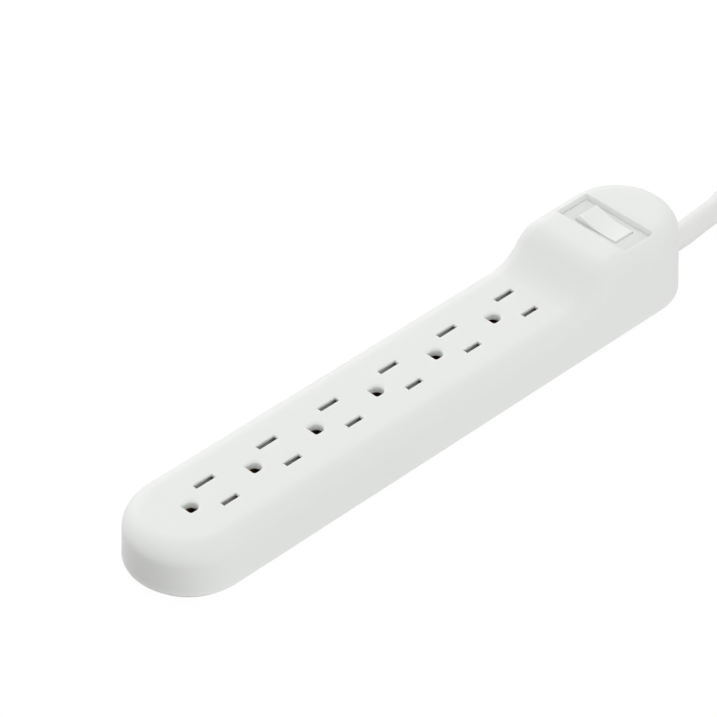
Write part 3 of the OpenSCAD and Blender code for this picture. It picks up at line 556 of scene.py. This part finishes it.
def hank_run(side, start, stop, z0, z1, steps=28):
    """One run of the hank, climbing from z0 to z1 by a smooth step.

    A squared cosine draws it in to the waist and lifts it there.
    """
    t = np.linspace(0, 1, steps, endpoint=False)
    s = start + (stop - start) * t
    waist = np.cos(np.pi / 2 * np.maximum(0, np.abs(s) - TIE_REACH) / (1 - TIE_REACH)) ** 2
    x = HANK_MIDDLE + s * (HANK_X1 - HANK_X0) / 2
    y = HANK_Y + side * (HANK_R - HANK_WAIST * waist)
    return np.stack([x, y, z0 + (z1 - z0) * smooth_step(t) + HANK_LIFT * waist], 1)


def hank_fold(x, start_deg, z, steps=24):
    """Half a circle with the clock at one end of the hank."""
    a = np.radians(start_deg - 180 * np.linspace(0, 1, steps, endpoint=False))
    return np.stack([x + HANK_R * np.cos(a), HANK_Y + HANK_R * np.sin(a), 0 * a + z], 1)


def cord_route():
    """The whole cord: out of the relief, twice round the hank and along its top, then down to the plug.

    Its points are set at even distances, and each is then drawn twice towards its neighbours' mean.
    """
    parts = [through(LEAD)]
    for low, high in zip(LAYERS[:-1], LAYERS[1:]):
        parts += [hank_run(1, -1, 1, low, low), hank_fold(HANK_X1, 90, low),
                  hank_run(-1, 1, -1, low, high), hank_fold(HANK_X0, -90, high)]
    top = LAYERS[-1]
    parts += [hank_run(1, -1, 1, top, top), [[HANK_X1, HANK_Y + HANK_R, top]], through(TAIL)]
    raw = np.concatenate(parts)
    far = np.concatenate([[0], np.cumsum(np.linalg.norm(np.diff(raw, axis=0), axis=1))])
    even = np.linspace(0, far[-1], int(far[-1] / ROUTE_STEP))
    route = np.stack([np.interp(even, far, raw[:, k]) for k in range(3)], 1)
    for _ in range(2):
        route[1:-1] = (route[:-2] + 2 * route[1:-1] + route[2:]) / 4
    return route


def tube_rings(route, radius, sides=24):
    """Rings of a round tube about a route, each square to it; the radius is per ring or one for all."""
    way = np.gradient(route, axis=0)
    way[0], way[-1] = route[1] - route[0], route[-1] - route[-2]
    way /= np.linalg.norm(way, axis=1)[:, None]
    across = np.cross([0, 0, 1], way)
    across /= np.linalg.norm(across, axis=1)[:, None]
    up = np.cross(way, across)
    a = np.linspace(0, 2 * np.pi, sides, endpoint=False)[None, :, None]
    radius = (np.asarray(radius) + np.zeros(len(route)))[:, None, None]
    return route[:, None] + radius * (np.cos(a) * across[:, None] + np.sin(a) * up[:, None])


def make_cord(route, material):
    """The cord: a round tube along its whole route."""
    rings = tube_rings(route, CORD_D / 2)
    return add_mesh("mains_cord", [loft(rings, capped=True)], material, "strip", sharp_deg=60.0)


# Relief: a jacket and a collar inside the shell, and a neck outside
JACKET_X = 114.85
COLLAR_X = 123.45
COLLAR_T = 2.6
COLLAR_R = 7.0
COLLAR_EDGE = 0.4
COVER_T = 1.8
NECK_X = 124.65
NECK_STEP = 0.1  # the collar's profile ends this far before the neck
NECK_R = 4.95
NECK_PLAIN = 0.5  # length of the neck outside the shell before it narrows
TIP_R = 4.53
TIP_L, TIP_SHRINK = 0.15, 0.03
KNEE_CUT = 0.06  # how far the route cuts the knee's corner
RING_APART = 0.01  # keeps two rings of one place apart
RELIEF_SIDES = 48


def make_relief(material):
    """The relief: a jacket and a collar inside the shell, and a neck outside.

    The cover's floor flattens the collar, and the neck narrows by a smooth step.
    """
    back = COLLAR_X - COLLAR_T
    profile = np.array([
        (JACKET_X, CORD_D / 2), (back, CORD_D / 2), (back, COLLAR_R - COLLAR_EDGE),
        (back + COLLAR_EDGE, COLLAR_R), (COLLAR_X - COLLAR_EDGE, COLLAR_R),
        (COLLAR_X, COLLAR_R - COLLAR_EDGE), (COLLAR_X, NECK_R), (NECK_X - NECK_STEP, NECK_R)])
    x = profile[:, 0] + RING_APART * np.arange(len(profile))
    inner = tube_rings(np.stack([x, 0 * x, 0 * x + EXIT_Z], 1), profile[:, 1], RELIEF_SIDES)
    inner[..., 2] = np.maximum(inner[..., 2], COVER_T)
    straight = [[NECK_X, 0, EXIT_Z], EXIT, EXIT + 3 * SINK_WAY, EXIT + 6 * SINK_WAY]
    bend = [KNEE - 4 * SINK_WAY, KNEE - 2 * SINK_WAY, KNEE + KNEE_CUT * (LEAD_WAY - SINK_WAY),
            KNEE + 2 * LEAD_WAY, KNEE + 4 * LEAD_WAY]
    route = through(straight + bend + [LEAD_START])
    narrowed = smooth_step((route[:, 0] - HALF_L - NECK_PLAIN) / RELIEF_BEND)
    outer = tube_rings(route, NECK_R + (TIP_R - NECK_R) * narrowed, RELIEF_SIDES)
    tip = outer[-1] + (LEAD_START - outer[-1]) * TIP_SHRINK + TIP_L * LEAD_WAY
    rows = np.concatenate([inner, outer, tip[None]])
    return add_mesh("relief_sleeve", [loft(rows, capped=True)], material, "strip", sharp_deg=40.0)


# Strap: half its width and thickness, and where its belt runs outside the strands
STRAP_HALF_W, STRAP_HALF_T = 3.0, 0.48
STRAP_OUT = 0.8
STRAND_ROOM = 0.56
STRAND_STEP = 4.2  # the climbing side starts this much higher and ends this much lower
STRAP_SQUARE_W, STRAP_SQUARE_T = 0.4, 0.6  # powers that square its section


def make_tie(material):
    """The strap: a belt round the bundle's outer strands, carried across its width with rounded edges."""
    low, high = LAYERS[0] + HANK_LIFT, LAYERS[-1] + HANK_LIFT
    y = HANK_R - HANK_WAIST + STRAND_ROOM
    strands = np.array([[HANK_Y + y, low], [HANK_Y + y, high],
                        [HANK_Y - y, low + STRAND_STEP], [HANK_Y - y, high - STRAND_STEP]])
    turn = np.linspace(0, 2 * np.pi, 96, endpoint=False)
    way = np.stack([np.cos(turn), np.sin(turn)], 1)
    belt = strands[np.argmax(way @ strands.T, axis=1)] + way * (CORD_D / 2 + STRAP_OUT)
    a = np.linspace(0, 2 * np.pi, 12, endpoint=False)
    x = HANK_MIDDLE + STRAP_HALF_W * squared(np.cos(a), STRAP_SQUARE_W)
    thick = STRAP_HALF_T * squared(np.sin(a), STRAP_SQUARE_T)
    rows = belt[:, None, :] + way[:, None, :] * thick[None, :, None]
    band = np.concatenate([x[None, :, None] + np.zeros((len(turn), len(a), 1)), rows], 2)
    band = np.concatenate([band, band[:1]])
    return add_mesh("hank_strap", [loft(band)], material, "strip", sharp_deg=60.0)


# Plug: a ribbed neck, a swell and a block, with half sizes across
PLUG_X0, PLUG_BACK, PLUG_FACE = 346.0, 376.0, 408.0
PLUG_Y, PLUG_Z = 10.5, 13.2
PLUG_SWELL = 18.0
PLUG_RIM = 1.2
PLUG_HALF_W, PLUG_HALF_H = 13.4, 12.8
PLUG_SQUARE = 4.6  # power of the block's section; a circle's is 2
SWELL_START = 8.6
PLUG_NECK_R, PLUG_NECK_GROW, PLUG_NECK_POWER = 5.05, 2.4, 1.3
RIBS, RIB_DEEP, RIB_FROM, RIB_TO = 6, 0.55, 0.12, 0.9


def make_plug(material):
    """The plug: a section that swells from the cord's circle to a soft rectangle, with a round rim.

    The ribs of its neck are a raised cosine along a part of it.
    """
    neck = np.linspace(0, 1, 91)
    wave = 0.5 - 0.5 * np.cos(2 * np.pi * RIBS * (neck - RIB_FROM) / (RIB_TO - RIB_FROM))
    slim = PLUG_NECK_R + PLUG_NECK_GROW * neck ** PLUG_NECK_POWER
    slim -= RIB_DEEP * np.where((neck > RIB_FROM) & (neck < RIB_TO), wave, 0)
    along = np.linspace(0, 1, 40)
    swell = smooth_step(along)
    block = np.linspace(0, 1, 12)[1:]
    rim = np.linspace(0, np.pi / 2, 7)[1:]
    draw = PLUG_RIM * (1 - np.cos(rim))
    shoulder, rim_x = PLUG_BACK + PLUG_SWELL, PLUG_FACE - PLUG_RIM
    x = np.concatenate([PLUG_X0 + (PLUG_BACK - PLUG_X0) * neck, PLUG_BACK + RING_APART + PLUG_SWELL * along,
                        shoulder + (rim_x - shoulder) * block, rim_x + PLUG_RIM * np.sin(rim)])
    half = lambda size: np.concatenate([
        slim, SWELL_START + (size - SWELL_START) * swell, 0 * block + size, size - draw])
    power = np.concatenate([
        0 * neck + 2, 2 + (PLUG_SQUARE - 2) * swell, 0 * block + PLUG_SQUARE, 0 * rim + PLUG_SQUARE])
    a = np.linspace(0, 2 * np.pi, 72, endpoint=False)[None]
    y = PLUG_Y + half(PLUG_HALF_W)[:, None] * squared(np.cos(a), 2 / power[:, None])
    z = PLUG_Z + half(PLUG_HALF_H)[:, None] * squared(np.sin(a), 2 / power[:, None])
    rows = np.stack([x[:, None] + 0 * y, y, z], 2)
    return add_mesh("moulded_plug", [loft(rows, capped=True)], material, "strip", sharp_deg=50.0)


# Materials
def add_group(name, inputs, outputs):
    """An empty shader node group with its sockets: names, kinds and, for inputs, values."""
    group = bpy.data.node_groups.new(name, "ShaderNodeTree")
    for label, kind, value in inputs:
        group.interface.new_socket(label, in_out="INPUT", socket_type=kind).default_value = value
    for label, kind in outputs:
        group.interface.new_socket(label, in_out="OUTPUT", socket_type=kind)
    return group, group.nodes.new("NodeGroupInput"), group.nodes.new("NodeGroupOutput")


def add_node(tree, kind, values=None, **settings):
    """A node with its settings and the values of its inputs, by name or number."""
    made = tree.nodes.new(kind)
    for key, value in settings.items():
        setattr(made, key, value)
    for key, value in (values or {}).items():
        made.inputs[key].default_value = value
    return made


COLOUR, NUMBER = "NodeSocketColor", "NodeSocketFloat"
FINISH = [("Color", COLOUR), ("Roughness", NUMBER), ("Height", NUMBER)]


def moulding_group():
    """Moulded plastic: a slow colour drift, a fine grain as a height, and a gloss that wanders a little."""
    group, given, out = add_group(
        "moulding", [("Color", COLOUR, (0.8, 0.8, 0.78, 1)), ("Drift", NUMBER, 0.03),
                     ("Grain", NUMBER, 2500.0), ("Gloss", NUMBER, 0.4), ("Wander", NUMBER, 0.06)], FINISH)
    link = group.links.new
    place = add_node(group, "ShaderNodeTexCoord")
    slow = add_node(group, "ShaderNodeTexNoise", {"Scale": 18.0, "Detail": 3.0, "Roughness": 0.5})
    fine = add_node(group, "ShaderNodeTexNoise", {"Detail": 2.0, "Roughness": 0.6})
    link(place.outputs["Object"], slow.inputs["Vector"])
    link(place.outputs["Object"], fine.inputs["Vector"])
    link(given.outputs["Grain"], fine.inputs["Scale"])
    centred = add_node(group, "ShaderNodeMath", {1: 0.5}, operation="SUBTRACT")
    link(slow.outputs["Fac"], centred.inputs[0])
    drift = add_node(group, "ShaderNodeMath", {2: 1.0}, operation="MULTIPLY_ADD")
    link(centred.outputs[0], drift.inputs[0])
    link(given.outputs["Drift"], drift.inputs[1])
    shade = add_node(group, "ShaderNodeVectorMath", operation="SCALE")
    link(given.outputs["Color"], shade.inputs[0])
    link(drift.outputs[0], shade.inputs["Scale"])
    gloss = add_node(group, "ShaderNodeMath", operation="MULTIPLY_ADD")
    link(centred.outputs[0], gloss.inputs[0])
    link(given.outputs["Wander"], gloss.inputs[1])
    link(given.outputs["Gloss"], gloss.inputs[2])
    link(shade.outputs["Vector"], out.inputs["Color"])
    link(gloss.outputs[0], out.inputs["Roughness"])
    link(fine.outputs["Fac"], out.inputs["Height"])
    return group


def stamping_group():
    """Stamped metal: streaks along the strip as a height and in the gloss, and dull patches."""
    group, given, out = add_group(
        "stamping", [("Color", COLOUR, (0.5, 0.48, 0.45, 1)), ("Dull", COLOUR, (0.3, 0.28, 0.26, 1)),
                     ("Gloss", NUMBER, 0.35)], FINISH)
    link = group.links.new
    place = add_node(group, "ShaderNodeTexCoord")
    drawn = add_node(group, "ShaderNodeMapping", {"Scale": (150.0, 2500.0, 2500.0)})
    streak = add_node(group, "ShaderNodeTexNoise", {"Scale": 1.0, "Detail": 3.0})
    patch = add_node(group, "ShaderNodeTexNoise", {"Scale": 220.0, "Detail": 4.0})
    link(place.outputs["Object"], drawn.inputs["Vector"])
    link(drawn.outputs["Vector"], streak.inputs["Vector"])
    link(place.outputs["Object"], patch.inputs["Vector"])
    blend = add_node(group, "ShaderNodeMix", data_type="RGBA")
    link(patch.outputs["Fac"], blend.inputs["Factor"])
    link(given.outputs["Color"], blend.inputs["A"])
    link(given.outputs["Dull"], blend.inputs["B"])
    gloss = add_node(group, "ShaderNodeMath", {1: 0.25}, operation="MULTIPLY_ADD")
    link(streak.outputs["Fac"], gloss.inputs[0])
    link(given.outputs["Gloss"], gloss.inputs[2])
    link(blend.outputs["Result"], out.inputs["Color"])
    link(gloss.outputs[0], out.inputs["Roughness"])
    link(streak.outputs["Fac"], out.inputs["Height"])
    return group


MOULDING = moulding_group()
STAMPING = stamping_group()
GRAIN_DEPTH = 0.00004
STREAK_BUMP, STREAK_DEPTH = 0.15, 0.00002


def finish_with(name, group, values, bump, depth, shader_values):
    """A material whose shader takes colour, gloss and bump from a group, and the rest as given."""
    material = bpy.data.materials.new(name)
    material.use_nodes = True
    tree = material.node_tree
    shader = tree.nodes["Principled BSDF"]
    source = add_node(tree, "ShaderNodeGroup", node_tree=group)
    for key, value in values.items():
        source.inputs[key].default_value = value
    relief = add_node(tree, "ShaderNodeBump", {"Strength": bump, "Distance": depth})
    tree.links.new(source.outputs["Color"], shader.inputs["Base Color"])
    tree.links.new(source.outputs["Roughness"], shader.inputs["Roughness"])
    tree.links.new(source.outputs["Height"], relief.inputs["Height"])
    tree.links.new(relief.outputs["Normal"], shader.inputs["Normal"])
    for key, value in shader_values.items():
        shader.inputs[key].default_value = value
    return material


def plastic(name, colour, gloss, grain, bump, drift=0.03, **more):
    """Moulded plastic of a colour, a gloss and a grain."""
    values = {"Color": colour + (1,), "Drift": drift, "Grain": grain, "Gloss": gloss}
    return finish_with(name, MOULDING, values, bump, GRAIN_DEPTH, {"IOR": 1.5, **more})


def metal(name, colour, dull, gloss):
    """Stamped metal of a colour, its dull shade and a gloss."""
    values = {"Color": colour + (1,), "Dull": dull + (1,), "Gloss": gloss}
    return finish_with(name, STAMPING, values, STREAK_BUMP, STREAK_DEPTH, {"Metallic": 1.0})


# Light runs about a millimetre into the white plastic
SOFT = {"Subsurface Weight": 0.6, "Subsurface Radius": (1.0, 1.0, 1.0), "Subsurface Scale": 0.001}
# Plastics: colour, gloss, grain and bump
shell_white = plastic("shell_white", (0.80, 0.812, 0.797), 0.42, 2600.0, 0.10, **SOFT)
# The bezel's white is the shell's darkened: painted shade for its face, sunk in the recess
bezel_white_painted_shade = plastic("bezel_white_painted_shade", (0.745, 0.755, 0.742), 0.40, 2600.0, 0.10, **SOFT)
rocker_white = plastic("rocker_white", (0.83, 0.84, 0.825), 0.28, 1800.0, 0.04, **SOFT)
cover_white = plastic("cover_white", (0.77, 0.775, 0.76), 0.5, 1500.0, 0.2)
nylon = plastic("nylon", (0.70, 0.68, 0.62), 0.5, 1500.0, 0.15)
jacket_white = plastic("jacket_white", (0.80, 0.805, 0.79), 0.45, 1400.0, 0.12)
strap_white = plastic("strap_white", (0.76, 0.76, 0.75), 0.55, 900.0, 0.2)
wire_black = plastic("wire_black", (0.03, 0.03, 0.03), 0.4, 1500.0, 0.1)
wire_white = plastic("wire_white", (0.80, 0.80, 0.78), 0.4, 1500.0, 0.1)
wire_green = plastic("wire_green", (0.05, 0.30, 0.10), 0.4, 1500.0, 0.1)
# Metals: colour, dull shade and gloss
tinned = metal("tinned_strip", (0.62, 0.625, 0.61), (0.42, 0.425, 0.415), 0.3)
bronze = metal("bronze_strip", (0.42, 0.24, 0.12), (0.20, 0.10, 0.05), 0.3)
brass = metal("stamped_brass", (0.72, 0.56, 0.28), (0.5, 0.36, 0.16), 0.25)
silver = metal("contact_silver", (0.75, 0.74, 0.72), (0.55, 0.54, 0.52), 0.2)
zinc = metal("zinc_steel", (0.62, 0.62, 0.62), (0.45, 0.45, 0.46), 0.25)
nickel = metal("nickel_blade", (0.70, 0.67, 0.62), (0.55, 0.52, 0.47), 0.18)

# The solids that stay, each with its finish
KEPT = {"bottom_cover": cover_white, "housing_screws": zinc, "hot_bus_bar": tinned, "neutral_bus_bar": tinned,
        "ground_bus_bar": bronze, "switch_case": nylon, "rocker_plunger": nylon, "plunger_spring": zinc,
        "contact_lever": brass, "lever_contact": silver, "line_terminal": brass, "load_terminal": brass,
        "fixed_contact": silver, "hot_lead": wire_black, "hot_jumper": wire_black, "neutral_lead": wire_white,
        "ground_lead": wire_green, "plug_hot_blade": nickel, "plug_neutral_blade": nickel,
        "plug_ground_pin": nickel}
for node, material in KEPT.items():
    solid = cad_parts[node]
    solid.data.materials.clear()
    solid.data.materials.append(material)

# The cord, its strap, plug and relief
route = cord_route()
cord = make_cord(route, jacket_white)
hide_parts("cord_lead", "cord_hank", "cord_tail")
strap = make_tie(strap_white)
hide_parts("cord_tie")
plug = make_plug(jacket_white)
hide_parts("plug_body")
relief = make_relief(jacket_white)
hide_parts("strain_relief")

# The shell and the switch
shell = make_housing(shell_white)
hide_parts("top_housing")
bezel = make_bezel(bezel_white_painted_shade)
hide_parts("switch_bezel")
rocker = make_rocker(rocker_white)
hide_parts("rocker")

# Floor and light, in metres
FLOOR_HALF = 6.0
FLOOR_BASE, FLOOR_GLOW = 0.06, 0.95
DIM_PLACE = (-0.165, -0.005, 0.0)
DIM_NEAR, DIM_FAR = 0.02, 0.06
DIM_LIGHT, FULL_LIGHT = 0.15, 0.8
DOME_BASE = 0.78
# Each lobe is a weight, a way and a power
DOME_LOBES = ((1.2, (0.32, 0.88, 0.34), 5.0), (0.38, (-0.25, -0.91, 0.34), 2.0))


def floor_material():
    """A floor that the camera sees as near white, and that is a plain light to everything else.

    A smooth step of the distance from a place by the plain end dims that light.
    """
    material = bpy.data.materials.new("floor_pale")
    material.use_nodes = True
    tree = material.node_tree
    pale = tree.nodes["Principled BSDF"]
    looks = {"Base Color": (FLOOR_BASE, FLOOR_BASE, FLOOR_BASE, 1), "Roughness": 1.0,
             "Specular IOR Level": 0.0, "Emission Color": (1, 1, 1, 1), "Emission Strength": FLOOR_GLOW}
    for key, value in looks.items():
        pale.inputs[key].default_value = value
    place = add_node(tree, "ShaderNodeTexCoord")
    far = add_node(tree, "ShaderNodeVectorMath", {1: DIM_PLACE}, operation="DISTANCE")
    dimming = {"From Min": DIM_NEAR, "From Max": DIM_FAR, "To Min": DIM_LIGHT, "To Max": FULL_LIGHT}
    fade = add_node(tree, "ShaderNodeMapRange", dimming, interpolation_type="SMOOTHSTEP")
    light = add_node(tree, "ShaderNodeEmission")
    path = add_node(tree, "ShaderNodeLightPath")
    both = add_node(tree, "ShaderNodeMixShader")
    tree.links.new(place.outputs["Object"], far.inputs[0])
    tree.links.new(far.outputs["Value"], fade.inputs["Value"])
    tree.links.new(fade.outputs[0], light.inputs["Strength"])
    tree.links.new(path.outputs["Is Camera Ray"], both.inputs[0])
    tree.links.new(light.outputs[0], both.inputs[1])
    tree.links.new(pale.outputs[0], both.inputs[2])
    tree.links.new(both.outputs[0], tree.nodes["Material Output"].inputs["Surface"])
    return material


def make_floor():
    """A wide square floor under the strip."""
    mesh = bpy.data.meshes.new("floor")
    corners = [(x * FLOOR_HALF, y * FLOOR_HALF, 0) for x, y in ((-1, -1), (1, -1), (1, 1), (-1, 1))]
    mesh.from_pydata(corners, [], [(0, 1, 2, 3)])
    floor = bpy.data.objects.new("floor", mesh)
    bpy.context.collection.objects.link(floor)
    mesh.materials.append(floor_material())


def make_dome(base, lobes):
    """A soft white dome: a base, and lobes of a weight, a way and a power.

    Each lobe adds its weight times that power of the cosine between a direction and its way.
    """
    world = bpy.data.worlds.new("studio")
    world.use_nodes = True
    tree = world.node_tree
    sight = add_node(tree, "ShaderNodeTexCoord")
    total = add_node(tree, "ShaderNodeValue")
    total.outputs[0].default_value = base
    for weight, way, power in lobes:
        near = add_node(tree, "ShaderNodeVectorMath", {1: way}, operation="DOT_PRODUCT")
        above = add_node(tree, "ShaderNodeMath", {1: 0.0}, operation="MAXIMUM")
        raised = add_node(tree, "ShaderNodeMath", {1: power}, operation="POWER")
        summed = add_node(tree, "ShaderNodeMath", {1: weight}, operation="MULTIPLY_ADD")
        tree.links.new(sight.outputs["Generated"], near.inputs[0])
        tree.links.new(near.outputs["Value"], above.inputs[0])
        tree.links.new(above.outputs[0], raised.inputs[0])
        tree.links.new(raised.outputs[0], summed.inputs[0])
        tree.links.new(total.outputs[0], summed.inputs[2])
        total = summed
    tree.links.new(total.outputs[0], tree.nodes["Background"].inputs["Strength"])
    tree.nodes["Background"].inputs["Color"].default_value = (1, 1, 1, 1)
    bpy.context.scene.world = world


make_floor()
make_dome(DOME_BASE, DOME_LOBES)
bpy.context.scene.view_settings.view_transform = "Standard"
